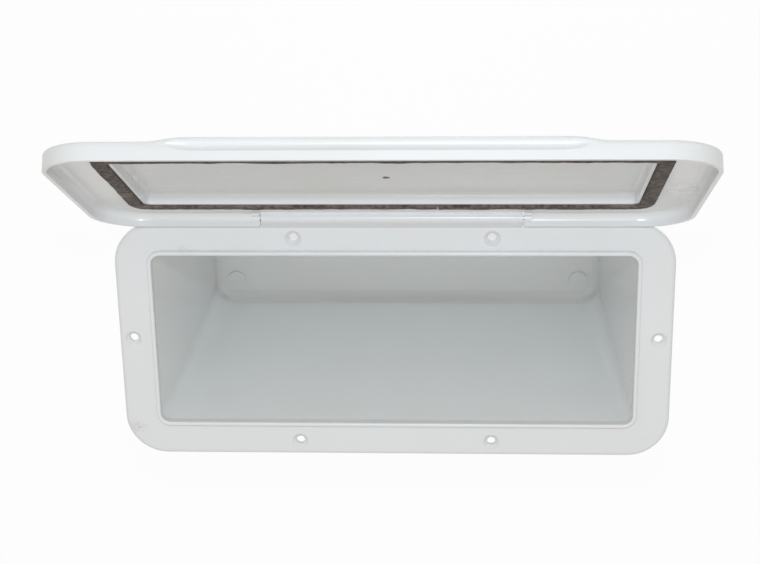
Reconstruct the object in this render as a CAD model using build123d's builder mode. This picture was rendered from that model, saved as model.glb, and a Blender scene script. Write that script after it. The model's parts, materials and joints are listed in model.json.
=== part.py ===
"""White moulded access hatch: a flange frame with a storage box behind it and a hinged lid with a foam gasket.

The origin is the centre of the flange's back face, which lies on the wall panel. +Z points out of the wall,
+X runs along the hinge and +Y points to the hinge side. The lid stands open, as far as its hinge lets it go.
Lid heights are written as they are on the closed lid, and lid_plane() swings them open.
"""
import os

from build123d import *

# Flange of the frame
FLANGE_WIDTH = 356.0
FLANGE_HEIGHT = 160.0
FLANGE_THICK = 5.0
FLANGE_CORNER = 27.0
FLANGE_EDGE_ROUND = 3.0

# Opening through the frame, with the coaming bead that the gasket closes on
OPENING_WIDTH = 307.8
OPENING_HEIGHT = 115.7
OPENING_CORNER = 6.0
OPENING_Y = 1.9
BEAD_WIDTH = 2.8
BEAD_HEIGHT = 3.0
BEAD_ROUND = 1.2

# Countersunk screw holes: four in a rectangle and one at each end
SCREW_RADIUS = 2.7
SCREW_HEAD_RADIUS = 5.35
SCREW_HEAD_ANGLE = 90
SCREW_SPACING = 125.5
SCREW_EDGE_INSET = 9.5
SCREW_END_INSET = 9.0

# Storage box, bonded by its lip into a rebate in the back of the flange
BOX_DEPTH = 200.0
BOX_WALL = 2.5
BOX_DRAFT = 0.042
BOX_FLOOR_CORNER = 14.0
BOX_FLOOR_ROUND = 5.0
BOX_LIP_WIDTH = 6.0
BOX_LIP_THICK = 2.0
BOX_LIP_GAP = 0.2
REBATE_DEPTH = 2.2
BOSS_RADIUS = 7.0
BOSS_HEIGHT = 1.6
BOSS_INSET_X = 15.0
BOSS_INSET_Y = 16.0

# Hinge: the frame's barrel, the lid's ears and a stub pin at each end
HINGE_Y = 84.75
HINGE_Z = 6.75
BARREL_RADIUS = 3.6
BARREL_LENGTH = 163.0
BARREL_WEB_FOOT = 2.4
EAR_WIDTH = 4.5
EAR_GAP = 1.0
PIN_RADIUS = 1.5
PIN_SEAT = 12.0
PIN_REACH = 3.2
PIN_RUNNING_GAP = 0.05
PIN_END_GAP = 0.3
LID_OPEN_ANGLE = 120.0

# Lid shell, with heights above the wall panel when it is closed
LID_WIDTH = 368.0
LID_LENGTH = 173.2
LID_HINGE_EDGE = 86.0
LID_CORNER = 32.0
LID_WALL = 2.5
LID_LIP_HEIGHT = 1.2
LID_RIM_HEIGHT = 10.8
LID_EDGE_ROUND = 2.5
LID_INNER_ROUND = 5.0
LID_SKIN = 2.4
PANEL_HEIGHT = 18.65
PANEL_BEVEL_WIDTH = 18.0
PANEL_BEVEL_OUTSET = 9.7
PANEL_CORNER = 10.0
PANEL_EDGE_ROUND = 3.0
NOTCH_GAP = 1.5

# Gasket in its channel, with the rib that keeps it in place
GASKET_WIDTH = 10.0
GASKET_THICK = 4.9
GASKET_SIDE_GAP = 0.2
GASKET_BEAD_GAP = 0.3
GASKET_PROUD = 0.7
RIB_WIDTH = 2.0
RIB_CORNER = 3.0
RECESS_ROUND = 2.8

# Finger lip raised along the free edge, with a groove under it for the fingertips
FINGER_LIP_WIDTH = 200.0
FINGER_LIP_RAMP = 26.0
FINGER_LIP_RAISE = 2.4
GROOVE_RADIUS = 4.2
GROOVE_DEPTH = 1.7
GROOVE_DROP = 4.5
GROOVE_STRAIGHT = 188.0
GROOVE_RUN_OUT_RADIUS = 80.0
GROOVE_RUN_OUT_ANGLE = 15.0

LID_CENTRE_Y = LID_HINGE_EDGE - LID_LENGTH / 2
LID_FREE_EDGE = LID_HINGE_EDGE - LID_LENGTH
BORDER_TOP = LID_LIP_HEIGHT + LID_RIM_HEIGHT
BORDER_CEILING = BORDER_TOP - LID_SKIN
LIP_END = FINGER_LIP_WIDTH / 2
LIP_FOOT = LIP_END + FINGER_LIP_RAMP
LIP_TOP = BORDER_TOP + FINGER_LIP_RAISE
PANEL_CEILING = PANEL_HEIGHT - LID_SKIN
BEAD_TOP = FLANGE_THICK + BEAD_HEIGHT
GASKET_FACE = BEAD_TOP + GASKET_BEAD_GAP
CHANNEL_FLOOR = GASKET_FACE + GASKET_THICK
RIB_TIP = GASKET_FACE + GASKET_PROUD
GASKET_OUTER_WIDTH = OPENING_WIDTH + BEAD_WIDTH + GASKET_WIDTH
GASKET_OUTER_HEIGHT = OPENING_HEIGHT + BEAD_WIDTH + GASKET_WIDTH
BEVEL_FOOT_WIDTH = GASKET_OUTER_WIDTH + 2 * PANEL_BEVEL_OUTSET
BEVEL_FOOT_HEIGHT = GASKET_OUTER_HEIGHT + 2 * PANEL_BEVEL_OUTSET
BEVEL_SLOPE = (PANEL_HEIGHT - BORDER_TOP) / PANEL_BEVEL_WIDTH
RIB_OUTER_WIDTH = GASKET_OUTER_WIDTH - 2 * GASKET_WIDTH
RIB_OUTER_HEIGHT = GASKET_OUTER_HEIGHT - 2 * GASKET_WIDTH
BOX_FLOOR = REBATE_DEPTH - BOX_DEPTH
EAR_START = BARREL_LENGTH / 2 + EAR_GAP

FLAT = 1e-3

SWING = (
    Location((0, HINGE_Y, HINGE_Z))
    * Location((0, 0, 0), (1, 0, 0), -LID_OPEN_ANGLE)
    * Location((0, -HINGE_Y, -HINGE_Z))
)


def lid_plane(height):
    """Plane of the open lid that lies at this height above the wall when the lid is closed."""
    return Plane(SWING * Location((0, 0, height)))


def lid_section(x):
    """Cross-section plane of the open lid at x, with the closed lid's Y and Z as its own axes."""
    return Plane(SWING * Plane(origin=(x, 0, 0), x_dir=(0, 1, 0), z_dir=(1, 0, 0)).location)


def lid_front(y):
    """Plane of the open lid that faces its free edge, with the closed lid's X and Z as its own axes."""
    return Plane(SWING * Plane(origin=(0, y, 0), x_dir=(1, 0, 0), z_dir=(0, -1, 0)).location)


def frame_section(x):
    """Cross-section plane of the frame at x, with Y and Z as its own axes."""
    return Plane(origin=(x, 0, 0), x_dir=(0, 1, 0), z_dir=(1, 0, 0))


LID_UP = Axis(lid_plane(0).origin, lid_plane(0).z_dir)


def box_section(width, height, depth):
    """Width, height and corner radius of the storage box's inside at this depth below its mouth."""
    share = depth / BOX_DEPTH
    narrowing = 2 * BOX_DRAFT * depth
    corner = OPENING_CORNER + share * (BOX_FLOOR_CORNER - OPENING_CORNER)
    return width - narrowing, height - narrowing, corner


# Frame: flange, coaming bead, opening, rebate, hinge barrel and screw holes
with BuildPart() as frame:
    with BuildSketch():
        RectangleRounded(FLANGE_WIDTH, FLANGE_HEIGHT, FLANGE_CORNER)
    extrude(amount=FLANGE_THICK)
    fillet(frame.faces().sort_by(Axis.Z)[-1].edges(), FLANGE_EDGE_ROUND)
    with BuildSketch(Plane.XY.offset(FLANGE_THICK)):
        with Locations((0, OPENING_Y)):
            RectangleRounded(
                OPENING_WIDTH + 2 * BEAD_WIDTH, OPENING_HEIGHT + 2 * BEAD_WIDTH, OPENING_CORNER + BEAD_WIDTH
            )
    extrude(amount=BEAD_HEIGHT)
    with BuildSketch():
        with Locations((0, OPENING_Y)):
            RectangleRounded(OPENING_WIDTH, OPENING_HEIGHT, OPENING_CORNER)
    extrude(amount=BEAD_TOP, mode=Mode.SUBTRACT)
    fillet(frame.faces().sort_by(Axis.Z)[-1].edges(), BEAD_ROUND)
    with BuildSketch():
        with Locations((0, OPENING_Y)):
            RectangleRounded(
                OPENING_WIDTH + 2 * (BOX_LIP_WIDTH + BOX_LIP_GAP),
                OPENING_HEIGHT + 2 * (BOX_LIP_WIDTH + BOX_LIP_GAP),
                OPENING_CORNER + BOX_LIP_WIDTH + BOX_LIP_GAP,
            )
    extrude(amount=REBATE_DEPTH, mode=Mode.SUBTRACT)
    # Hinge barrel with the web that joins it to the flange's edge
    with BuildSketch(frame_section(-BARREL_LENGTH / 2)):
        with Locations((HINGE_Y, HINGE_Z)):
            Circle(BARREL_RADIUS)
        with BuildLine():
            web_foot = (FLANGE_HEIGHT / 2 - BARREL_WEB_FOOT, FLANGE_THICK)
            Polyline(
                web_foot,
                (web_foot[0] - FLANGE_EDGE_ROUND, 0),
                (HINGE_Y - BARREL_RADIUS / 2, 0),
                (HINGE_Y, HINGE_Z - BARREL_RADIUS),
                (HINGE_Y, HINGE_Z),
                (HINGE_Y - BARREL_RADIUS / 2**0.5, HINGE_Z + BARREL_RADIUS / 2**0.5),
                close=True,
            )
        make_face()
    extrude(amount=BARREL_LENGTH)
    for side in (-1, 1):
        with BuildSketch(frame_section(side * BARREL_LENGTH / 2)):
            with Locations((HINGE_Y, HINGE_Z)):
                Circle(PIN_RADIUS)
        extrude(amount=-side * (PIN_SEAT + PIN_END_GAP), mode=Mode.SUBTRACT)
    with Locations(Plane.XY.offset(FLANGE_THICK)):
        with GridLocations(SCREW_SPACING, FLANGE_HEIGHT - 2 * SCREW_EDGE_INSET, 2, 2):
            CounterSinkHole(SCREW_RADIUS, SCREW_HEAD_RADIUS, counter_sink_angle=SCREW_HEAD_ANGLE)
        end_screw_x = FLANGE_WIDTH / 2 - SCREW_END_INSET
        with Locations((-end_screw_x, OPENING_Y), (end_screw_x, OPENING_Y)):
            CounterSinkHole(SCREW_RADIUS, SCREW_HEAD_RADIUS, counter_sink_angle=SCREW_HEAD_ANGLE)
frame.part.label = "frame"

# Space inside the storage box
with BuildPart() as box_space:
    for depth in (0, BOX_DEPTH):
        width, height, corner = box_section(OPENING_WIDTH, OPENING_HEIGHT, depth)
        with BuildSketch(Plane.XY.offset(REBATE_DEPTH - depth)):
            with Locations((0, OPENING_Y)):
                RectangleRounded(width, height, corner)
    loft(ruled=True)
    fillet(box_space.faces().sort_by(Axis.Z)[0].edges(), BOX_FLOOR_ROUND)

# Storage box: drafted walls, a bonded lip and two bosses on the floor
with BuildPart() as storage_box:
    for depth in (0, BOX_DEPTH + BOX_WALL):
        width, height, corner = box_section(OPENING_WIDTH, OPENING_HEIGHT, depth)
        with BuildSketch(Plane.XY.offset(REBATE_DEPTH - depth)):
            with Locations((0, OPENING_Y)):
                RectangleRounded(width + 2 * BOX_WALL, height + 2 * BOX_WALL, corner + BOX_WALL)
    loft(ruled=True)
    fillet(storage_box.faces().sort_by(Axis.Z)[0].edges(), BOX_FLOOR_ROUND + BOX_WALL)
    with BuildSketch(Plane.XY.offset(REBATE_DEPTH - BOX_LIP_THICK)):
        with Locations((0, OPENING_Y)):
            RectangleRounded(
                OPENING_WIDTH + 2 * BOX_LIP_WIDTH,
                OPENING_HEIGHT + 2 * BOX_LIP_WIDTH,
                OPENING_CORNER + BOX_LIP_WIDTH,
            )
    extrude(amount=BOX_LIP_THICK)
    add(box_space.part, mode=Mode.SUBTRACT)
    floor_width, floor_height, floor_corner = box_section(OPENING_WIDTH, OPENING_HEIGHT, BOX_DEPTH)
    boss_x = floor_width / 2 - BOSS_INSET_X
    boss_y = OPENING_Y - floor_height / 2 + BOSS_INSET_Y
    with BuildSketch(Plane.XY.offset(BOX_FLOOR)):
        with Locations((-boss_x, boss_y), (boss_x, boss_y)):
            Circle(BOSS_RADIUS)
    extrude(amount=BOSS_HEIGHT)
storage_box.part.label = "storage_box"

# Space inside the lid's rim, with a large cove where the rim meets the border
with BuildPart() as rim_space:
    with BuildSketch(lid_plane(LID_LIP_HEIGHT)):
        with Locations((0, LID_CENTRE_Y)):
            RectangleRounded(LID_WIDTH - 2 * LID_WALL, LID_LENGTH - 2 * LID_WALL, LID_CORNER - LID_WALL)
    extrude(amount=BORDER_CEILING - LID_LIP_HEIGHT)
    fillet(rim_space.faces().sort_by(LID_UP)[-1].edges(), LID_INNER_ROUND)

# Space inside the rib, under the raised panel
with BuildPart() as panel_space:
    with BuildSketch(lid_plane(RIB_TIP)):
        with Locations((0, OPENING_Y)):
            RectangleRounded(RIB_OUTER_WIDTH - 2 * RIB_WIDTH, RIB_OUTER_HEIGHT - 2 * RIB_WIDTH, RIB_CORNER)
    extrude(amount=PANEL_CEILING - RIB_TIP)
    fillet(panel_space.faces().sort_by(LID_UP)[-1].edges(), RECESS_ROUND)

# Finger groove: straight under the finger lip, running out of the rim at both ends
with BuildPart() as finger_groove:
    groove_end = (GROOVE_STRAIGHT / 2, LID_FREE_EDGE - GROOVE_RADIUS + GROOVE_DEPTH)
    with BuildLine(lid_plane(LIP_TOP - GROOVE_DROP)) as groove_path:
        Line((-groove_end[0], groove_end[1]), groove_end)
        JernArc(groove_end, (1, 0), GROOVE_RUN_OUT_RADIUS, -GROOVE_RUN_OUT_ANGLE)
        JernArc((-groove_end[0], groove_end[1]), (-1, 0), GROOVE_RUN_OUT_RADIUS, GROOVE_RUN_OUT_ANGLE)
    groove_wire = groove_path.wires()[0]
    with BuildSketch(Plane(origin=groove_wire @ 0, z_dir=groove_wire % 0)):
        Circle(GROOVE_RADIUS)
    sweep(path=groove_wire)

# Lid: rim, border, bevelled raised panel, gasket channel, rib, finger lip and hinge ears
with BuildPart() as lid:
    with BuildSketch(lid_plane(LID_LIP_HEIGHT)):
        with Locations((0, LID_CENTRE_Y)):
            RectangleRounded(LID_WIDTH, LID_LENGTH, LID_CORNER)
    extrude(amount=LID_RIM_HEIGHT)
    # Raised panel with bevelled sides
    for height, inset in ((BORDER_TOP, 0), (PANEL_HEIGHT, PANEL_BEVEL_WIDTH)):
        with BuildSketch(lid_plane(height)):
            with Locations((0, OPENING_Y)):
                RectangleRounded(
                    BEVEL_FOOT_WIDTH - 2 * inset,
                    BEVEL_FOOT_HEIGHT - 2 * inset,
                    PANEL_CORNER + PANEL_BEVEL_WIDTH - inset,
                )
    loft(ruled=True)
    fillet(lid.faces().sort_by(LID_UP)[-1].edges(), PANEL_EDGE_ROUND)
    # Finger lip, a land between the bevel and the free edge that ramps down at both ends
    with BuildSketch(lid_front(LID_FREE_EDGE)):
        with BuildLine():
            Line((-LIP_FOOT, BORDER_TOP), (LIP_FOOT, BORDER_TOP))
            for side in (-1, 1):
                Bezier(
                    (side * LIP_FOOT, BORDER_TOP),
                    (side * (LIP_FOOT + LIP_END) / 2, BORDER_TOP),
                    (side * (LIP_FOOT + LIP_END) / 2, LIP_TOP),
                    (side * LIP_END, LIP_TOP),
                )
            Line((-LIP_END, LIP_TOP), (LIP_END, LIP_TOP))
        make_face()
    extrude(amount=LID_FREE_EDGE - OPENING_Y + BEVEL_FOOT_HEIGHT / 2 - FINGER_LIP_RAISE / BEVEL_SLOPE)
    # One round along the whole top edge of the rim, over the finger lip too
    rim_walls = lid.faces().filter_by(lambda face: abs(face.normal_at().dot(LID_UP.direction)) < FLAT)
    fillet(rim_walls.edges().filter_by_position(LID_UP, BORDER_TOP - FLAT, PANEL_HEIGHT), LID_EDGE_ROUND)
    add(finger_groove.part, mode=Mode.SUBTRACT)
    add(rim_space.part, mode=Mode.SUBTRACT)
    with BuildSketch(lid_plane(BORDER_CEILING)):
        with Locations((0, OPENING_Y)):
            RectangleRounded(GASKET_OUTER_WIDTH, GASKET_OUTER_HEIGHT, RIB_CORNER + RIB_WIDTH + GASKET_WIDTH)
    extrude(amount=CHANNEL_FLOOR - BORDER_CEILING, mode=Mode.SUBTRACT)
    with BuildSketch(lid_plane(RIB_TIP)):
        with Locations((0, OPENING_Y)):
            RectangleRounded(RIB_OUTER_WIDTH, RIB_OUTER_HEIGHT, RIB_CORNER + RIB_WIDTH)
    extrude(amount=CHANNEL_FLOOR - RIB_TIP)
    add(panel_space.part, mode=Mode.SUBTRACT)
    # Notch in the rim for the frame's barrel
    notch_edge = HINGE_Y - BARREL_RADIUS - NOTCH_GAP
    with BuildSketch(lid_plane(0)):
        with Locations((0, notch_edge)):
            Rectangle(2 * EAR_START, LID_LENGTH, align=(Align.CENTER, Align.MIN))
    extrude(amount=PANEL_HEIGHT, mode=Mode.SUBTRACT)
    # Hinge ears at the ends of the notch
    for side in (-1, 1):
        with BuildSketch(lid_section(side * EAR_START)):
            with Locations((HINGE_Y, HINGE_Z)):
                Circle(BARREL_RADIUS)
            with Locations((LID_HINGE_EDGE - LID_WALL / 2, HINGE_Z)):
                Rectangle(
                    2 * (LID_HINGE_EDGE - HINGE_Y + BARREL_RADIUS) - LID_WALL,
                    BORDER_CEILING + LID_SKIN / 2 - HINGE_Z,
                    align=(Align.MAX, Align.MIN),
                )
        extrude(amount=side * EAR_WIDTH)
        with BuildSketch(lid_section(side * EAR_START)):
            with Locations((HINGE_Y, HINGE_Z)):
                Circle(PIN_RADIUS + PIN_RUNNING_GAP)
        extrude(amount=side * (PIN_REACH + PIN_END_GAP), mode=Mode.SUBTRACT)
lid.part.label = "lid"

# Foam gasket in the lid's channel
with BuildPart() as lid_gasket:
    with BuildSketch(lid_plane(GASKET_FACE)):
        with Locations((0, OPENING_Y)):
            RectangleRounded(
                GASKET_OUTER_WIDTH - 2 * GASKET_SIDE_GAP,
                GASKET_OUTER_HEIGHT - 2 * GASKET_SIDE_GAP,
                RIB_CORNER + RIB_WIDTH + GASKET_WIDTH - GASKET_SIDE_GAP,
            )
            RectangleRounded(
                RIB_OUTER_WIDTH + 2 * GASKET_SIDE_GAP,
                RIB_OUTER_HEIGHT + 2 * GASKET_SIDE_GAP,
                RIB_CORNER + RIB_WIDTH + GASKET_SIDE_GAP,
                mode=Mode.SUBTRACT,
            )
    extrude(amount=GASKET_THICK)
lid_gasket.part.label = "lid_gasket"

# Stub pins, pressed into the ends of the barrel and running in the ears
pins = {}
for name, side in (("hinge_pin_left", -1), ("hinge_pin_right", 1)):
    with BuildPart() as hinge_pin:
        with BuildSketch(frame_section(side * (BARREL_LENGTH / 2 - PIN_SEAT))):
            with Locations((HINGE_Y, HINGE_Z)):
                Circle(PIN_RADIUS)
        extrude(amount=side * (PIN_SEAT + EAR_GAP + PIN_REACH))
    hinge_pin.part.label = name
    pins[name] = hinge_pin.part

os.makedirs("parts", exist_ok=True)
export_step(frame.part, "parts/frame.step")
export_step(storage_box.part, "parts/storage_box.step")
export_step(lid.part, "parts/lid.step")
export_step(lid_gasket.part, "parts/lid_gasket.step")
for name, pin in pins.items():
    export_step(pin, f"parts/{name}.step")
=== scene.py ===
"""Looks of a white moulded access hatch: flange frame, storage box, open lid and foam gasket.

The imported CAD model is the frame. Its solids keep their shapes and get finishes here, and the gasket
is laid again as a cut foam strip. All sizes are in metres, in the frame of the CAD model.
"""
from __future__ import annotations

import json
import logging
import math
from dataclasses import dataclass, field
from enum import Enum
from typing import Any

import bmesh
import bpy
from mathutils import Matrix, Vector

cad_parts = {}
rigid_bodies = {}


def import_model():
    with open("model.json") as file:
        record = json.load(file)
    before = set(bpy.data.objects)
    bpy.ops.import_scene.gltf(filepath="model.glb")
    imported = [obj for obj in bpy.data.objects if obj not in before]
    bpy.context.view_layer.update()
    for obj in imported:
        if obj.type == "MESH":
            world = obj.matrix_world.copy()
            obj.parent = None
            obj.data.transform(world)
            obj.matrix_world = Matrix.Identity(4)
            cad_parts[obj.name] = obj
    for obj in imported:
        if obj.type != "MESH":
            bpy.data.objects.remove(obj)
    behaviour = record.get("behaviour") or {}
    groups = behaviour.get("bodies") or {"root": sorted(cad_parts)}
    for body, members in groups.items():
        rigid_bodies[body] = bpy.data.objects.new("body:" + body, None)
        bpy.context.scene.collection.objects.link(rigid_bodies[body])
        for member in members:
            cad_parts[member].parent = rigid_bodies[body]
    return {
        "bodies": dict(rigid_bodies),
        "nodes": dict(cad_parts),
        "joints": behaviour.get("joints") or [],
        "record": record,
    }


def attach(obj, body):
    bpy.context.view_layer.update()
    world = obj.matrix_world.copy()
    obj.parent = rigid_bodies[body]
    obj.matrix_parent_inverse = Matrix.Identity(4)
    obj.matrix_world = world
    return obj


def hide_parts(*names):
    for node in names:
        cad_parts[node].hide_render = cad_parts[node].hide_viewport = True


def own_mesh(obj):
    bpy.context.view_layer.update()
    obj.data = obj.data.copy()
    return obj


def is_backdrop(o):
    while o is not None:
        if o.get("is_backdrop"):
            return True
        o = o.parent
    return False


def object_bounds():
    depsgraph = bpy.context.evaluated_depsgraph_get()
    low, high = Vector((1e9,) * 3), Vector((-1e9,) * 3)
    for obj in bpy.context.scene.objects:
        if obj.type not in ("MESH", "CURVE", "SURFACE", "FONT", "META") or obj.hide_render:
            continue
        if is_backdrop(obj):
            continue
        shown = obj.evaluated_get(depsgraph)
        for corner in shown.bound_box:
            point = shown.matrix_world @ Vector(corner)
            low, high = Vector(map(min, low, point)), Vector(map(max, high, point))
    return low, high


LOG = logging.getLogger("access_hatch")
MM = 0.001
MEAN_NOISE = 0.5
Colour = tuple[float, float, float]
Point = tuple[float, float, float]
Span = tuple[float, float]
WHITE: Colour = (1.0, 1.0, 1.0)


class Value:
    """One output socket of a node tree, with Python's operators as Math nodes."""

    def __init__(self, graph: NodeGraph, socket: bpy.types.NodeSocket) -> None:
        """Keeps the socket and the graph that adds nodes to its tree.

        Args:
            graph: the graph that the socket belongs to.
            socket: the output socket.
        """
        self.graph = graph
        self.socket = socket

    def other(self, name: str | int) -> Value:
        """Another output of the same node, by its name or place."""
        return Value(self.graph, self.socket.node.outputs[name])

    def __add__(self, right: Any) -> Value:
        """Sum."""
        return self.graph.maths("ADD", self, right)

    def __radd__(self, left: Any) -> Value:
        """Sum, with a number on the left."""
        return self.graph.maths("ADD", left, self)

    def __sub__(self, right: Any) -> Value:
        """Difference."""
        return self.graph.maths("SUBTRACT", self, right)

    def __rsub__(self, left: Any) -> Value:
        """Difference, with a number on the left."""
        return self.graph.maths("SUBTRACT", left, self)

    def __mul__(self, right: Any) -> Value:
        """Product."""
        return self.graph.maths("MULTIPLY", self, right)

    def __rmul__(self, left: Any) -> Value:
        """Product, with a number on the left."""
        return self.graph.maths("MULTIPLY", left, self)

    def ramp(self, start: float, end: float) -> Value:
        """Smooth step from 0 at start to 1 at end.

        Args:
            start: the value that gives 0.
            end: the value that gives 1. It may be below start.

        Returns:
            The stepped value.
        """
        return self.graph.make(
            "ShaderNodeMapRange",
            {"interpolation_type": "SMOOTHSTEP", "clamp": True},
            {"Value": self, "From Min": start, "From Max": end},
        )


class NodeGraph:
    """A shader or geometry tree, and the one method that adds nodes to it."""

    def __init__(self, tree: bpy.types.NodeTree) -> None:
        """Starts from an empty tree.

        Args:
            tree: the tree to fill.
        """
        self.tree = tree
        self.tree.nodes.clear()

    def make(
        self,
        kind: str,
        settings: dict[str, Any] | None = None,
        inputs: dict[str | int, Any] | None = None,
        out: str | int = 0,
    ) -> Value:
        """Adds one node.

        Args:
            kind: the node's type, such as ShaderNodeTexNoise.
            settings: the node's own properties, which are set first.
            inputs: values or links of the sockets, by name or place.
            out: the output that is wanted, by name or place.

        Returns:
            The wanted output. For a node with no outputs, its first input.
        """
        node = self.tree.nodes.new(kind)
        for key, setting in (settings or {}).items():
            setattr(node, key, setting)
        for key, given in (inputs or {}).items():
            socket = node.inputs[key]
            if isinstance(given, Value):
                self.tree.links.new(given.socket, socket)
            else:
                socket.default_value = given
        return Value(self, node.outputs[out] if node.outputs else node.inputs[0])

    def maths(self, operation: str, left: Any, right: Any) -> Value:
        """One Math node.

        Args:
            operation: the node's operation.
            left: the first number or value.
            right: the second number or value.

        Returns:
            The result.
        """
        return self.make("ShaderNodeMath", {"operation": operation}, {0: left, 1: right})

    def vectors(self, operation: str, inputs: dict[str | int, Any], out: str = "Vector") -> Value:
        """One Vector Math node.

        Args:
            operation: the node's operation.
            inputs: values or links of its sockets.
            out: the output that is wanted.

        Returns:
            The result.
        """
        return self.make("ShaderNodeVectorMath", {"operation": operation}, inputs, out)

    def mix(self, share: Any, first: Any, second: Any) -> Value:
        """Colour between two colours.

        Args:
            share: 0 gives the first and 1 the second.
            first: a colour or a colour value.
            second: a colour or a colour value.

        Returns:
            The mixed colour.
        """
        ends = [end if isinstance(end, Value) else (*end, 1.0) for end in (first, second)]
        return self.make(
            "ShaderNodeMix", {"data_type": "RGBA"}, {0: share, 6: ends[0], 7: ends[1]}, 2
        )


@dataclass(frozen=True)
class Pattern:
    """Noise that breaks up a finish.

    Its patches have a size, finer layers, a squeeze and a turn along the axes, and they show from one
    noise value on and are full at another.
    """

    size: float
    detail: float = 2.0
    squeeze: Point = (1, 1, 1)
    turn: Point = (0, 0, 0)
    show: Span = (0.0, 1.0)


class MaterialGraph(NodeGraph):
    """The tree of one material, with the textures that its finish is made from."""

    def __init__(self, name: str) -> None:
        """Makes the material and its Object coordinates.

        Args:
            name: the material's name.
        """
        self.material = bpy.data.materials.new(name)
        self.material.use_nodes = True
        super().__init__(self.material.node_tree)
        self.place = self.make("ShaderNodeTexCoord", out="Object")

    def noise(self, pattern: Pattern) -> Value:
        """Noise from 0 to 1.

        Args:
            pattern: the noise's size and shape.

        Returns:
            The noise's value.
        """
        place = self.make(
            "ShaderNodeMapping", None,
            {"Vector": self.place, "Scale": pattern.squeeze, "Rotation": pattern.turn},
        )
        return self.make(
            "ShaderNodeTexNoise", None,
            {"Vector": place, "Scale": 1 / pattern.size, "Detail": pattern.detail},
        )

    def patches(self, pattern: Pattern) -> Value:
        """The patches of a pattern that show, from 0 to 1."""
        return self.noise(pattern).ramp(*pattern.show)

    def cells(self, size: float, settings: dict[str, Any], inputs: dict[str, Any]) -> Value:
        """Distance from the middles of scattered cells, as a share of their size.

        Args:
            size: size of a cell.
            settings: the Voronoi node's own properties.
            inputs: its sockets, apart from place and scale.

        Returns:
            The distance.
        """
        sockets = {"Vector": self.place, "Scale": 1 / size, **inputs}
        return self.make("ShaderNodeTexVoronoi", settings, sockets, "Distance")

    def near(self, centre: Point, reach: Point) -> Value:
        """1 at a point, falling to 0 at the given reach along each axis.

        Args:
            centre: the point.
            reach: how far it reaches along each axis.

        Returns:
            The falling value.
        """
        shifted = self.vectors("SUBTRACT", {0: self.place, 1: centre})
        scaled = self.vectors("DIVIDE", {0: shifted, 1: reach})
        return self.vectors("LENGTH", {0: scaled}, "Value").ramp(1.0, 0.0)

    def bump(self, layers: list[tuple[Value, float]]) -> Value:
        """Bump from heights that are added up.

        Args:
            layers: each height's value from 0 to 1 and its depth.

        Returns:
            The bent normal.
        """
        first, *others = [layer * depth for layer, depth in layers]
        height = sum(others, first)
        return self.make(
            "ShaderNodeBump", None, {"Strength": 1.0, "Distance": 1.0, "Height": height}
        )

    def surface(self, inputs: dict[str, Any]) -> bpy.types.Material:
        """Ends the tree in a Principled shader.

        Args:
            inputs: values or links of the shader's sockets.

        Returns:
            The material.
        """
        shader = self.make("ShaderNodeBsdfPrincipled", None, inputs)
        self.make("ShaderNodeOutputMaterial", None, {"Surface": shader})
        return self.material


@dataclass(frozen=True)
class MarkLook:
    """How one kind of mark looks: its pattern, its share of the dark dirt_and_shade colour (painted shade
    for the painted-shade kind), the gloss it takes and its depth.
    """

    pattern: Pattern
    dirt_and_shade: float
    dull: float
    depth: float = 0.0


class MarkKind(Enum):
    """The kinds of local mark on the plastic: scuffs and smudges, and bands of painted shade."""

    SCUFF = MarkLook(
        Pattern(0.9 * MM, 4.0, (1, 3, 1), (0, 0, 0.6), show=(0.45, 0.68)),
        dirt_and_shade=0.55, dull=0.25, depth=0.024 * MM,
    )
    SMUDGE = MarkLook(Pattern(7 * MM, 4.0, show=(0.45, 0.68)), dirt_and_shade=0.16, dull=0.18)
    # Painted shade: a darker, duller band laid where shade falls, not a real stain.
    PAINTED_SHADE = MarkLook(Pattern(40 * MM, show=(-0.75, 0.40)), dirt_and_shade=0.22, dull=0.25)


@dataclass(frozen=True)
class Mark:
    """A small mark at one place of a moulding."""

    kind: MarkKind
    centre: Point
    reach: Point
    strength: float


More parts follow.
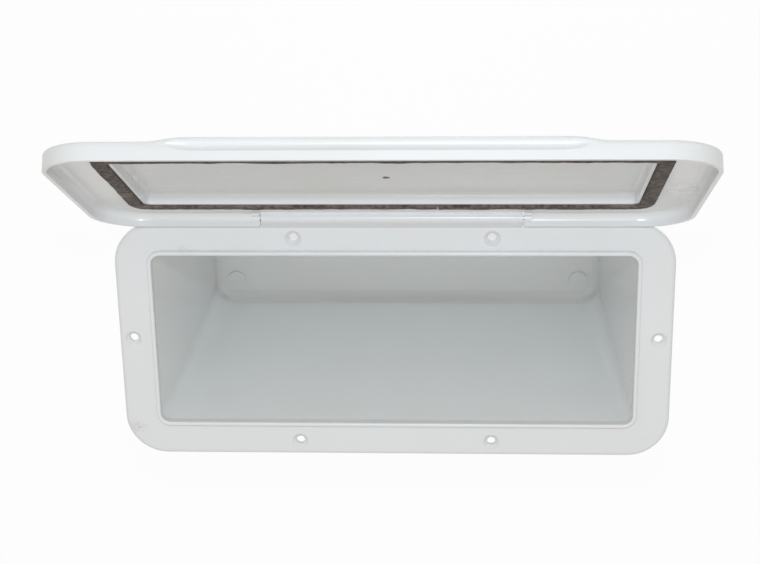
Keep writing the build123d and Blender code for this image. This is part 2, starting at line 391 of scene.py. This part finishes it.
@dataclass(frozen=True)
class MouldedPlastic:
    """Glossy white plastic from a mould: faint waviness, fine grain, hairline scratches, dust and local
    marks, where the painted-shade marks paint shade into the colour.
    """

    name: str
    colour: Colour
    aged: Colour
    roughness: float
    roughness_spread: float = 0.10
    ior: float = 1.5
    ageing: Pattern = Pattern(55 * MM, 3.0, show=(0.35, 0.75))
    grain: Pattern = Pattern(0.5 * MM, 3.0)
    grain_dull: float = 0.5
    grain_depth: float = 0.006 * MM
    wave: Pattern = Pattern(11 * MM, 1.0)
    wave_depth: float = 0.015 * MM
    scratch_along: Pattern = Pattern(0.5 * MM, 0.0, (0.018, 1, 1), (0, 0, 0.16), (0.80, 0.86))
    scratch_across: Pattern = Pattern(0.5 * MM, 0.0, (1, 0.022, 1), (0, 0, -0.3), (0.81, 0.87))
    scratch_dull: float = 0.12
    scratch_depth: float = 0.004 * MM
    speck_apart: float = 16 * MM
    speck_edge: Span = (0.030, 0.018)
    speck_areas: Pattern = Pattern(90 * MM, 1.0, show=(0.5, 0.62))
    speck_dirt: float = 0.5
    # Dark warm colour of the dust specks and scuffs, and also of the painted shade marks.
    dirt_and_shade: Colour = (0.30, 0.24, 0.19)
    marks: tuple[Mark, ...] = ()

    def build(self) -> bpy.types.Material:
        """Makes the material.

        Returns:
            The material.
        """
        graph = MaterialGraph(self.name)
        grain = graph.noise(self.grain)
        wave = graph.noise(self.wave)
        ageing = graph.noise(self.ageing)
        scratches = self._scratches(graph)
        dirt_and_shade = self._specks(graph) * self.speck_dirt
        uneven = (ageing - MEAN_NOISE) + (grain - MEAN_NOISE) * self.grain_dull
        roughness = self.roughness + uneven * self.roughness_spread + scratches * self.scratch_dull
        heights = [(grain, self.grain_depth), (wave, self.wave_depth), (scratches, -self.scratch_depth)]
        for kind in {mark.kind: None for mark in self.marks}:
            look = kind.value
            marked = self._marked(graph, kind)
            # Each mark darkens the colour towards the dark colour; the painted-shade marks paint shade this
            # way.
            dirt_and_shade = dirt_and_shade + marked * look.dirt_and_shade
            roughness = roughness + marked * look.dull
            if look.depth:
                heights.append((marked, -look.depth))
        colour = graph.mix(ageing.ramp(*self.ageing.show), self.colour, self.aged)
        return graph.surface({
            "Base Color": graph.mix(dirt_and_shade, colour, self.dirt_and_shade),
            "Roughness": roughness,
            "Normal": graph.bump(heights),
            "IOR": self.ior,
        })

    def _scratches(self, graph: MaterialGraph) -> Value:
        """Sparse hairline scratches in two directions.

        Args:
            graph: the material's tree.

        Returns:
            1 on a scratch and 0 elsewhere.
        """
        along = graph.patches(self.scratch_along)
        across = graph.patches(self.scratch_across)
        return graph.maths("MAXIMUM", along, across)

    def _specks(self, graph: MaterialGraph) -> Value:
        """A few dust specks, far apart.

        Args:
            graph: the material's tree.

        Returns:
            1 on a speck and 0 elsewhere.
        """
        cells = graph.cells(self.speck_apart, {"feature": "F1"}, {"Randomness": 1.0})
        return cells.ramp(*self.speck_edge) * graph.patches(self.speck_areas)

    def _marked(self, graph: MaterialGraph, kind: MarkKind) -> Value:
        """All the local marks of one kind.

        Args:
            graph: the material's tree.
            kind: a kind that the moulding has.

        Returns:
            How marked each place is.
        """
        first, *others = [
            graph.near(mark.centre, mark.reach) * mark.strength
            for mark in self.marks if mark.kind is kind
        ]
        return sum(others, first) * graph.patches(kind.value.pattern)


@dataclass(frozen=True)
class CutFoam:
    """Dark closed-cell foam strip: small pores, mottled skin, dust rubbed into it."""

    name: str
    dark: Colour
    light: Colour
    dust: Colour
    roughness: float = 0.82
    roughness_spread: float = 0.16
    specular: float = 0.3
    pore: float = 0.55 * MM
    pore_smoothness: float = 0.35
    pore_edge: Span = (0.28, 0.05)
    pore_share: float = 0.4
    pore_depth: float = 0.12 * MM
    mottle: Pattern = Pattern(3.2 * MM, 3.0, show=(0.34, 0.66))
    mottle_depth: float = 0.18 * MM
    rubbed: Pattern = Pattern(14 * MM, 4.0, (0.4, 1, 1), show=(0.52, 0.74))
    rubbed_share: float = 0.55

    def build(self) -> bpy.types.Material:
        """Makes the material.

        Returns:
            The material.
        """
        graph = MaterialGraph(self.name)
        pores = graph.cells(self.pore, {"feature": "SMOOTH_F1"}, {"Smoothness": self.pore_smoothness})
        mottle = graph.noise(self.mottle)
        colour = graph.mix(mottle.ramp(*self.mottle.show), self.dark, self.light)
        colour = graph.mix(graph.patches(self.rubbed) * self.rubbed_share, colour, self.dust)
        colour = graph.mix(pores.ramp(*self.pore_edge) * self.pore_share, colour, self.dark)
        return graph.surface({
            "Base Color": colour,
            "Roughness": self.roughness + (mottle - MEAN_NOISE) * self.roughness_spread,
            "Normal": graph.bump([(pores, self.pore_depth), (mottle, self.mottle_depth)]),
            "Specular IOR Level": self.specular,
        })


@dataclass(frozen=True)
class GroundSteel:
    """Steel pin, ground along its length."""

    name: str
    colour: Colour = (0.56, 0.55, 0.54)
    brown: Colour = (0.30, 0.22, 0.16)
    roughness: float = 0.26
    line_dull: float = 0.2
    line_depth: float = 0.004 * MM
    lines: Pattern = Pattern(0.25 * MM, 2.0, (0.03, 1, 1))
    stain: Pattern = Pattern(4 * MM, 3.0, show=(0.5, 0.75))
    stain_share: float = 0.5

    def build(self) -> bpy.types.Material:
        """Makes the material.

        Returns:
            The material.
        """
        graph = MaterialGraph(self.name)
        lines = graph.noise(self.lines)
        return graph.surface({
            "Base Color": graph.mix(graph.patches(self.stain) * self.stain_share, self.colour, self.brown),
            "Metallic": 1.0,
            "Roughness": self.roughness + lines * self.line_dull,
            "Normal": graph.bump([(lines, self.line_depth)]),
        })


@dataclass(frozen=True)
class BrokenGate:
    """Discoloured plastic where the moulding was broken off its feed."""

    name: str
    colour: Colour = (0.20, 0.115, 0.11)
    pale: Colour = (0.42, 0.33, 0.32)
    roughness: float = 0.45
    torn: Pattern = Pattern(0.7 * MM, 4.0, show=(0.45, 0.72))
    torn_dull: float = 0.3
    torn_depth: float = 0.12 * MM

    def build(self) -> bpy.types.Material:
        """Makes the material.

        Returns:
            The material.
        """
        graph = MaterialGraph(self.name)
        torn = graph.noise(self.torn)
        return graph.surface({
            "Base Color": graph.mix(torn.ramp(*self.torn.show), self.colour, self.pale),
            "Roughness": self.roughness + torn * self.torn_dull,
            "Normal": graph.bump([(torn, self.torn_depth)]),
        })


class Slot(Enum):
    """Names of two of the record's material slots, for the lid and the foam; the pieces made here are not
    given them.
    """

    LID = "lid_white"
    FOAM = "foam"


def dress(node: bpy.types.Object, material: bpy.types.Material) -> None:
    """Gives a CAD node its finish.

    Args:
        node: the node's object.
        material: the finish.
    """
    node.data.materials.clear()
    node.data.materials.append(material)


def place_in_scene(name: str, content: bpy.types.ID) -> bpy.types.Object:
    """Puts a mesh, lamp or camera into the scene.

    Args:
        name: the new object's name.
        content: the object's data.

    Returns:
        The object, at the origin.
    """
    item = bpy.data.objects.new(name, content)
    bpy.context.scene.collection.objects.link(item)
    return item


@dataclass
class FlangeFrame:
    """The fixed frame: flange, coaming bead, hinge barrel and the two hinge pins."""

    nodes: dict[str, bpy.types.Object]
    pins: tuple[str, str] = ("hinge_pin_left", "hinge_pin_right")
    plastic: MouldedPlastic = MouldedPlastic(
        name="frame_white_gloss",
        colour=(0.778, 0.790, 0.808),
        aged=(0.768, 0.776, 0.786),
        roughness=0.28,
        marks=(
            Mark(MarkKind.SCUFF, (-0.1711, -0.0607, 0.005), (0.010, 0.007, 0.01), 1.0),
            Mark(MarkKind.SCUFF, (-0.1337, 0.0639, 0.005), (0.006, 0.004, 0.01), 0.7),
        ),
    )
    steel: GroundSteel = GroundSteel("pin_ground_steel")

    def build(self) -> None:
        """Dresses the frame and its pins."""
        dress(self.nodes["frame"], self.plastic.build())
        steel = self.steel.build()
        for pin in self.pins:
            dress(self.nodes[pin], steel)
        LOG.info("frame dressed, with %d pins", len(self.pins))


@dataclass
class StorageBox:
    """The deep box behind the frame."""

    nodes: dict[str, bpy.types.Object]
    plastic: MouldedPlastic = MouldedPlastic(
        name="box_white_satin",
        colour=(0.895, 0.912, 0.915),
        aged=(0.885, 0.897, 0.894),
        roughness=0.09,
        roughness_spread=0.03,
        grain_depth=0.0015 * MM,
        wave_depth=0.006 * MM,
        marks=(
            # Painted shadow: a darker band along the floor's edge at the far wall, where the flash's shadow
            # falls on the fillet.
            Mark(MarkKind.PAINTED_SHADE, (0.0, -0.0452, -0.1962), (0.42, 0.0075, 0.0075), 2.2),
        ),
    )

    def build(self) -> None:
        """Dresses the box."""
        dress(self.nodes["storage_box"], self.plastic.build())
        LOG.info("storage box dressed")


@dataclass
class HingeSwing:
    """The turn between the closed lid and the open one, as the CAD joint has it."""

    joint: dict[str, Any]

    def opening(self) -> Matrix:
        """The matrix that swings a closed lid open to its place at rest.

        Returns:
            The matrix.
        """
        pivot = Matrix.Translation(Vector(self.joint["pos_m"]))
        angle = math.radians(max(self.joint["range_deg"]))
        turn = Matrix.Rotation(-angle, 4, Vector(self.joint["axis"]))
        return pivot @ turn @ pivot.inverted()

    def closed_box(self, node: bpy.types.Object) -> tuple[Vector, Vector]:
        """Corners of a lid piece as it lies when the lid is closed.

        Args:
            node: a CAD node of the lid.

        Returns:
            The lowest and the highest corner.
        """
        closing = self.opening().inverted()
        points = [closing @ vertex.co for vertex in node.data.vertices]
        low = Vector([min(point[axis] for point in points) for axis in range(3)])
        high = Vector([max(point[axis] for point in points) for axis in range(3)])
        return low, high


@dataclass
class FoamGasket:
    """Foam strip laid round the lid in one length, with a butt joint on the hinge side."""

    nodes: dict[str, bpy.types.Object]
    swing: HingeSwing
    width: float = 8.6 * MM
    inset: float = 0.7 * MM
    corner: float = 8.2 * MM
    corner_steps: int = 10
    edge_round: float = 0.9 * MM
    edge_steps: int = 4
    joint_x: float = 29.2 * MM
    joint_gap: float = 0.5 * MM
    joint_step: float = 0.35 * MM
    spacing: float = 1.2 * MM
    section_spacing: float = 0.9 * MM
    ripple: float = 1.5 * MM
    ripple_size: float = 15 * MM
    ripple_detail: float = 3.0
    proud: float = 0.7 * MM
    squash_keep: float = 0.80
    foam: CutFoam = CutFoam(
        name="gasket_foam",
        dark=(0.062, 0.050, 0.045),
        light=(0.165, 0.140, 0.128),
        dust=(0.270, 0.238, 0.220),
    )

    def build(self) -> bpy.types.Object:
        """Lays the strip and puts it in the place of the CAD gasket.

        Returns:
            The strip.
        """
        low, high = self.swing.closed_box(self.nodes["lid_gasket"])
        low.z -= self.proud
        opening = self.swing.opening()
        mesh = self._swept(self._path(low, high), high.z - low.z)
        mesh.transform(opening)
        strip = place_in_scene("foam_gasket", mesh)
        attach(strip, "cover")
        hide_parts("lid_gasket")
        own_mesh(strip)
        LOG.info("gasket laid, %d faces", len(mesh.polygons))
        return strip

    def _path(self, low: Vector, high: Vector) -> bpy.types.Object:
        """The strip's centre line on the closed lid, as a chain of edges.

        Args:
            low: lowest corner of the CAD gasket, on the closed lid.
            high: its highest corner.

        Returns:
            An object of edges.
        """
        inset = self.inset + self.width / 2
        left, right = low.x + inset, high.x - inset
        free, hinge = low.y + inset, high.y - inset
        middle = (low.z + high.z) / 2
        half_gap = self.joint_gap / 2
        points = [
            (self.joint_x + half_gap, hinge + self.joint_step, middle),
            (right, hinge, middle),
            (right, free, middle),
            (left, free, middle),
            (left, hinge, middle),
            (self.joint_x - half_gap, hinge - self.joint_step, middle),
        ]
        mesh = bpy.data.meshes.new("gasket_path")
        mesh.from_pydata(points, [(i, i + 1) for i in range(len(points) - 1)], [])
        return place_in_scene("gasket_path", mesh)

    def _swept(self, path: bpy.types.Object, thick: float) -> bpy.types.Mesh:
        """The strip along its centre line, as a plain mesh.

        Args:
            path: the centre line, which is removed.
            thick: thickness of the strip.

        Returns:
            A new mesh, on the closed lid.
        """
        sizes = {
            "Strip Width": self.width,
            "Strip Thickness": thick,
            "Corner Radius": self.corner,
            "Edge Round": self.edge_round,
            "Spacing": self.spacing,
            "Section Spacing": self.section_spacing,
            "Ripple": self.ripple,
        }
        modifier = path.modifiers.new("strip", "NODES")
        modifier.node_group = self._tree(list(sizes))
        for socket in modifier.node_group.interface.items_tree:
            if socket.name in sizes:
                modifier[socket.identifier] = sizes[socket.name]
        shown = path.evaluated_get(bpy.context.evaluated_depsgraph_get())
        mesh = bpy.data.meshes.new_from_object(shown)
        path.modifiers.remove(modifier)
        bpy.data.objects.remove(path)
        return mesh

    def _tree(self, names: list[str]) -> bpy.types.NodeTree:
        """Geometry nodes that sweep the strip's section along its centre line.

        Args:
            names: names of the inputs for its sizes.

        Returns:
            The tree.
        """
        tree = bpy.data.node_groups.new("gasket_strip", "GeometryNodeTree")
        graph = NodeGraph(tree)
        tree.interface.new_socket("Geometry", in_out="OUTPUT", socket_type="NodeSocketGeometry")
        tree.interface.new_socket("Geometry", in_out="INPUT", socket_type="NodeSocketGeometry")
        for name in names:
            tree.interface.new_socket(name, in_out="INPUT", socket_type="NodeSocketFloat")
        given = graph.make("NodeGroupInput", out="Geometry")
        line = graph.make("GeometryNodeMeshToCurve", None, {"Mesh": given})
        line = self._rounded(graph, line, given.other("Corner Radius"), self.corner_steps)
        line = self._resampled(graph, line, given.other("Spacing"))
        line = graph.make("GeometryNodeSetCurveNormal", {"mode": "Z_UP"}, {"Curve": line})
        section = graph.make(
            "GeometryNodeCurvePrimitiveQuadrilateral", {"mode": "RECTANGLE"},
            {"Width": given.other("Strip Width"), "Height": given.other("Strip Thickness")},
        )
        section = self._rounded(graph, section, given.other("Edge Round"), self.edge_steps)
        section = self._resampled(graph, section, given.other("Section Spacing"))
        strip = graph.make(
            "GeometryNodeCurveToMesh", None,
            {"Curve": line, "Profile Curve": section, "Fill Caps": True},
        )
        strip = graph.make(
            "GeometryNodeSetPosition", None,
            {"Geometry": strip, "Offset": self._ripple(graph, given.other("Ripple"))},
        )
        strip = graph.make("GeometryNodeSetShadeSmooth", None, {"Geometry": strip, "Shade Smooth": True})
        strip = graph.make("GeometryNodeRealizeInstances", None, {"Geometry": strip})
        strip = graph.make(
            "GeometryNodeSetMaterial", None, {"Geometry": strip, "Material": self.foam.build()}
        )
        graph.make("NodeGroupOutput", None, {"Geometry": strip})
        return tree

    @staticmethod
    def _rounded(graph: NodeGraph, curve: Value, radius: Value, steps: int) -> Value:
        """A curve with its corners rounded.

        Args:
            graph: the tree.
            curve: the curve.
            radius: radius of the corners.
            steps: points in each round.

        Returns:
            The rounded curve.
        """
        sockets = {"Curve": curve, "Radius": radius, "Count": steps}
        return graph.make("GeometryNodeFilletCurve", {"mode": "POLY"}, sockets)

    @staticmethod
    def _resampled(graph: NodeGraph, curve: Value, spacing: Value) -> Value:
        """A curve with evenly spaced points.

        Args:
            graph: the tree.
            curve: the curve.
            spacing: distance between points.

        Returns:
            The resampled curve.
        """
        sockets = {"Curve": curve, "Length": spacing}
        return graph.make("GeometryNodeResampleCurve", {"mode": "LENGTH"}, sockets)

    def _ripple(self, graph: NodeGraph, ripple: Value) -> Value:
        """Uneven offset of the foam's skin.

        Args:
            graph: the tree.
            ripple: size of the unevenness.

        Returns:
            The offset of each point.
        """
        noise = graph.make(
            "ShaderNodeTexNoise", None,
            {"Scale": 1 / self.ripple_size, "Detail": self.ripple_detail}, "Color",
        )
        centred = graph.vectors("SUBTRACT", {0: noise, 1: (MEAN_NOISE,) * 3})
        return graph.vectors("SCALE", {0: centred, "Scale": ripple})


@dataclass
class Lid:
    """The lid: its moulding, and the gate mark left on the inside of its panel.

    The gate's rings are shares of its radius and height. Its waves are the share of the radius, how
    many there are round the rim and how far they turn from ring to ring. Its tear is the share of
    the height and how many there are round the rim.
    """

    nodes: dict[str, bpy.types.Object]
    swing: HingeSwing
    gate_place: Point = (-0.23 * MM, 15.5 * MM, 16.25 * MM)
    gate_radius: float = 2.1 * MM
    gate_height: float = 0.5 * MM
    gate_steps: int = 20
    gate_rings: tuple[Span, ...] = ((1.0, 0.12), (0.86, -0.55), (0.55, -0.9), (0.22, -0.7))
    gate_waves: tuple[tuple[float, int, int], ...] = ((0.16, 3, 1), (0.07, 7, 2))
    gate_tear: tuple[float, int] = (0.25, 5)
    plastic: MouldedPlastic = MouldedPlastic(
        name="lid_white_gloss",
        colour=(0.782, 0.796, 0.814),
        aged=(0.768, 0.776, 0.780),
        roughness=0.25,
        marks=(
            Mark(MarkKind.SMUDGE, (0.1765, 0.1189, 0.0601), (0.022, 0.030, 0.040), 0.9),
            Mark(MarkKind.SMUDGE, (-0.150, 0.120, 0.062), (0.030, 0.030, 0.040), 0.5),
            # Painted shade: a darker band along the finger groove under the lip of the free edge.
            Mark(MarkKind.PAINTED_SHADE, (0.0, 0.1727, 0.1545), (0.190, 0.0030, 0.0030), 1.0),
        ),
    )
    gate: BrokenGate = BrokenGate("gate_mark_brown")

    def build(self) -> bpy.types.Object:
        """Dresses the lid and adds the gate mark.

        Returns:
            The gate mark.
        """
        dress(self.nodes["lid"], self.plastic.build())
        mesh = self._gate_mesh()
        mesh.transform(self.swing.opening() @ Matrix.Translation(self.gate_place))
        mesh.materials.append(self.gate.build())
        mark = place_in_scene("gate_mark", mesh)
        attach(mark, "cover")
        LOG.info("lid dressed, gate mark at %s", tuple(round(v, 4) for v in self.gate_place))
        return mark

    def _gate_mesh(self) -> bpy.types.Mesh:
        """A low torn stub that hangs from the panel's inner face.

        Returns:
            The mesh, about the middle of the stub's foot.
        """
        shape = bmesh.new()
        loops = []
        for ring in range(len(self.gate_rings)):
            points = [self._gate_point(ring, step) for step in range(self.gate_steps)]
            loops.append([shape.verts.new(point) for point in points])
        for outer, inner in zip(loops, loops[1:]):
            for step in range(self.gate_steps):
                after = (step + 1) % self.gate_steps
                shape.faces.new((outer[step], inner[step], inner[after], outer[after]))
        shape.faces.new(loops[-1])
        shape.faces.new(list(reversed(loops[0])))
        bmesh.ops.recalc_face_normals(shape, faces=shape.faces)
        mesh = bpy.data.meshes.new("gate_mark")
        shape.to_mesh(mesh)
        shape.free()
        return mesh

    def _gate_point(self, ring: int, step: int) -> Point:
        """One point of the stub's uneven rings.

        Args:
            ring: the ring, from the foot.
            step: the step round it.

        Returns:
            The point.
        """
        reach, rise = self.gate_rings[ring]
        angle = 2 * math.pi * step / self.gate_steps
        wobble = sum(share * math.sin(count * angle + turn * ring) for share, count, turn in self.gate_waves)
        tear, tears = self.gate_tear
        radius = self.gate_radius * reach * (1 + wobble)
        height = self.gate_height * rise * (1 + tear * math.sin(tears * angle + ring))
        return radius * math.cos(angle), radius * math.sin(angle), height


@dataclass(frozen=True)
class Lamp:
    """One square area lamp that points at the middle of the frame."""

    name: str
    place: Point
    size: float
    watts: float
    colour: Colour

    def build(self) -> None:
        """Makes the lamp."""
        lamp = bpy.data.lights.new(self.name, "AREA")
        lamp.color = self.colour
        lamp.shape = "SQUARE"
        lamp.size = self.size
        lamp.energy = self.watts
        holder = place_in_scene(self.name, lamp)
        holder.location = self.place
        holder.rotation_mode = "QUATERNION"
        holder.rotation_quaternion = (-Vector(self.place)).to_track_quat("-Z", "Y")


@dataclass
class Studio:
    """Floor, light and camera."""

    floor_z: float
    floor_half: float = 20.0
    floor_grey: Colour = (0.8, 0.8, 0.8)
    floor_white: float = 0.95
    sky: float = 0.575
    sky_colour: Colour = (1.0, 0.945, 0.875)
    lamps: tuple[Lamp, ...] = (
        Lamp("flash", (0.051, 0.557, 0.990), 0.035, 3.7, (0.79, 0.91, 1.0)),
        Lamp("bounce", (0.0, 0.95, 1.25), 0.4, 1.3, (1.0, 0.99, 0.97)),
        Lamp("overhead", (0.0, 0.0, 2.5), 1.2, 6.5, (0.96, 1.0, 1.0)),
        Lamp("back", (0.0, 0.30, -0.03), 0.2, 0.12, WHITE),
    )
    lens: float = 78.37
    sensor: float = 36.0
    eye: Point = (0.0505, 0.4042, 0.9889)
    tilt: float = math.radians(20.252)
    yaw: float = math.radians(-3.192)
    roll: float = math.radians(0.103)
    shift: Span = (-0.00053, 0.00066)
    clip: Span = (0.05, 50.0)

    def build(self) -> None:
        """Makes the floor, the sky, the lamps and the camera."""
        self._floor()
        self._world()
        for lamp in self.lamps:
            lamp.build()
        self._camera()
        bpy.context.scene.view_settings.view_transform = "Standard"
        LOG.info("studio set, with %d lamps", len(self.lamps))

    @staticmethod
    def _seen(graph: NodeGraph) -> Value:
        """1 for rays that show the background, as the camera or a reflection sees it.

        Args:
            graph: a shader tree.

        Returns:
            The mask.
        """
        path = graph.make("ShaderNodeLightPath", out="Is Camera Ray")
        seen = graph.maths("MAXIMUM", path, path.other("Is Glossy Ray"))
        return graph.maths("MAXIMUM", seen, path.other("Is Transmission Ray"))

    def _floor(self) -> None:
        """A wide pale floor under the box, white to the camera with a faint shadow."""
        half = self.floor_half
        mesh = bpy.data.meshes.new("floor")
        corners = [(-half, -half), (half, -half), (half, half), (-half, half)]
        mesh.from_pydata([(x, y, self.floor_z) for x, y in corners], [], [(0, 1, 2, 3)])
        graph = MaterialGraph("floor_pale")
        matt = graph.make("ShaderNodeBsdfDiffuse", None, {"Color": (*self.floor_grey, 1.0)})
        white = graph.make("ShaderNodeEmission", None, {"Color": (*WHITE, 1.0), "Strength": 1.0})
        shown = graph.make(
            "ShaderNodeMixShader", None, {0: self._seen(graph) * self.floor_white, 1: matt, 2: white}
        )
        graph.make("ShaderNodeOutputMaterial", None, {"Surface": shown})
        mesh.materials.append(graph.material)
        floor = place_in_scene("floor", mesh)
        floor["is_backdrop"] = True

    def _world(self) -> None:
        """An even sky that lights the object softly and shows as white."""
        world = bpy.data.worlds.new("studio_sky")
        world.use_nodes = True
        bpy.context.scene.world = world
        graph = NodeGraph(world.node_tree)
        seen = self._seen(graph)
        colour = graph.mix(seen, self.sky_colour, WHITE)
        strength = seen * (1 - self.sky) + self.sky
        sky = graph.make("ShaderNodeBackground", None, {"Color": colour, "Strength": strength})
        graph.make("ShaderNodeOutputWorld", None, {"Surface": sky})

    def _camera(self) -> None:
        """The camera, at the photograph's viewing angle."""
        down = Vector((0, -math.sin(self.tilt), -math.cos(self.tilt)))
        above = Vector((0, math.cos(self.tilt), -math.sin(self.tilt)))
        across = Vector((1, 0, 0))
        ahead = down * math.cos(self.yaw) + across * math.sin(self.yaw)
        right = across * math.cos(self.yaw) - down * math.sin(self.yaw)
        turned_right = right * math.cos(self.roll) + above * math.sin(self.roll)
        turned_up = above * math.cos(self.roll) - right * math.sin(self.roll)
        axes = Matrix((turned_right, turned_up, -ahead)).transposed().to_4x4()
        camera = bpy.data.cameras.new("camera")
        camera.lens = self.lens
        camera.sensor_width = self.sensor
        camera.shift_x, camera.shift_y = self.shift
        camera.clip_start, camera.clip_end = self.clip
        holder = place_in_scene("camera", camera)
        holder.matrix_world = Matrix.Translation(self.eye) @ axes
        bpy.context.scene.camera = holder


@dataclass
class Hatch:
    """The whole hatch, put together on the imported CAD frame."""

    frame: dict[str, Any]
    pieces: list[bpy.types.Object] = field(default_factory=list)

    def build(self) -> None:
        """Dresses the CAD nodes and adds the pieces made here."""
        nodes = self.frame["nodes"]
        swing = HingeSwing(self.frame["joints"][0])
        FlangeFrame(nodes).build()
        StorageBox(nodes).build()
        self.pieces.append(Lid(nodes, swing).build())
        self.pieces.append(FoamGasket(nodes, swing).build())


def main() -> None:
    logging.basicConfig(level=logging.INFO, format="%(name)s: %(message)s")
    for item in list(bpy.data.objects):
        bpy.data.objects.remove(item)
    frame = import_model()
    cad_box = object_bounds()
    Hatch(frame).build()
    Studio(floor_z=cad_box[0].z).build()


if __name__ == "__main__":
    main()
